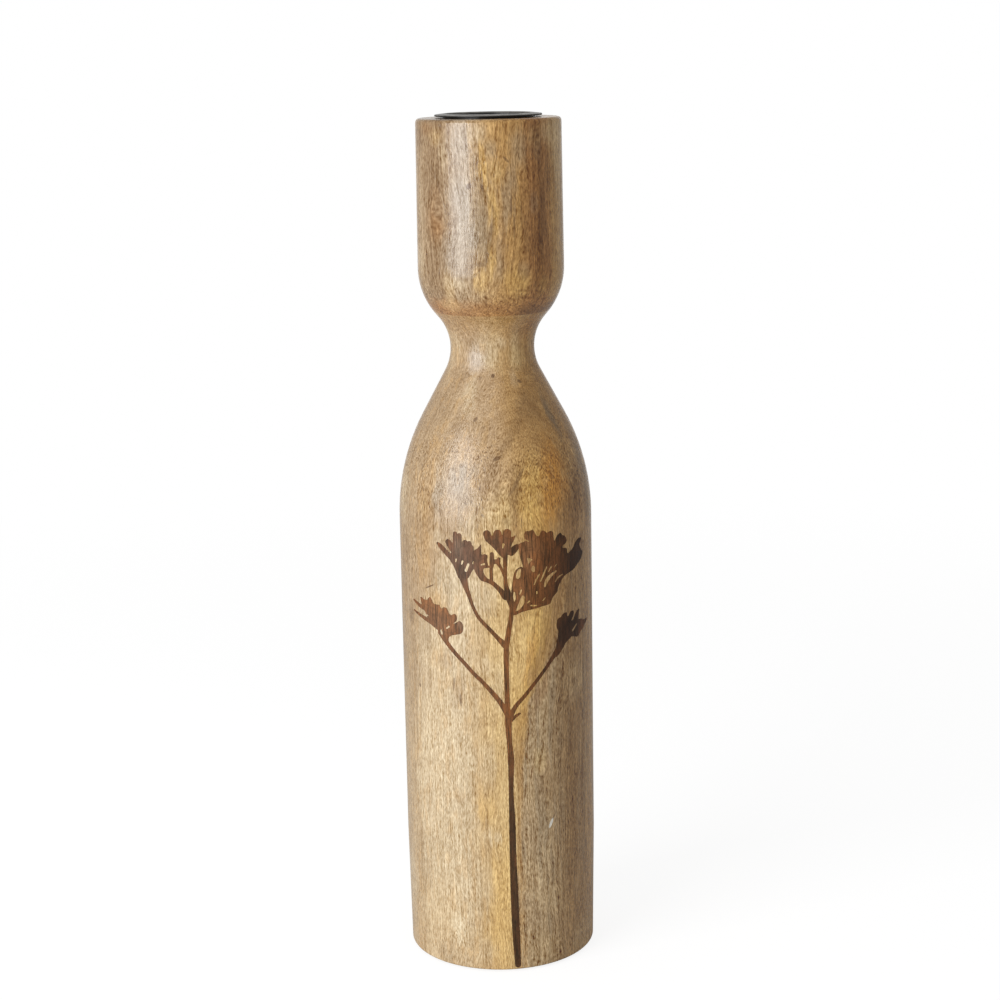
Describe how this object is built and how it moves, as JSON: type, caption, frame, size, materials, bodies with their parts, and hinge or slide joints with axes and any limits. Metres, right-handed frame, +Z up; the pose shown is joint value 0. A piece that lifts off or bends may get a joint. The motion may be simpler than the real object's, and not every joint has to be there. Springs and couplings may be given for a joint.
{
  "type": "candlestick",
  "caption": "Tall turned-wood candlestick: a round body with a narrow neck, a cylindrical head glued on at the neck, and a lift-out steel cup for a tea light.",
  "frame": {"origin": "on the turning axis, on the surface that the candlestick stands on", "axes": "+Z up along the turning axis; -Y towards the viewer of the picture, where the flower ornament is"},
  "size_m": [0.0934, 0.0934, 0.4119],
  "materials": {
    "body_wood": "satin clear lacquer over turned mango wood, cream to golden with a grey-brown side",
    "head_wood": "satin clear lacquer over turned mango wood, golden brown with dark streaks",
    "dowel_wood": "plain beech, unfinished",
    "blackened_steel": "satin black on pressed steel",
    "felt": "brown pressed felt"
  },
  "bodies": {
    "wood": {"turned_body": "body_wood", "turned_head": "head_wood", "joint_dowel": "dowel_wood", "felt_pad_1": "felt", "felt_pad_2": "felt", "felt_pad_3": "felt"},
    "cup": {"candle_cup": "blackened_steel"}
  },
  "joints": [
    {"name": "cup_lift", "type": "slide", "parent": "wood", "child": "cup", "axis": [0, 0, 1], "range_m": [0, 0.024]}
  ]
}
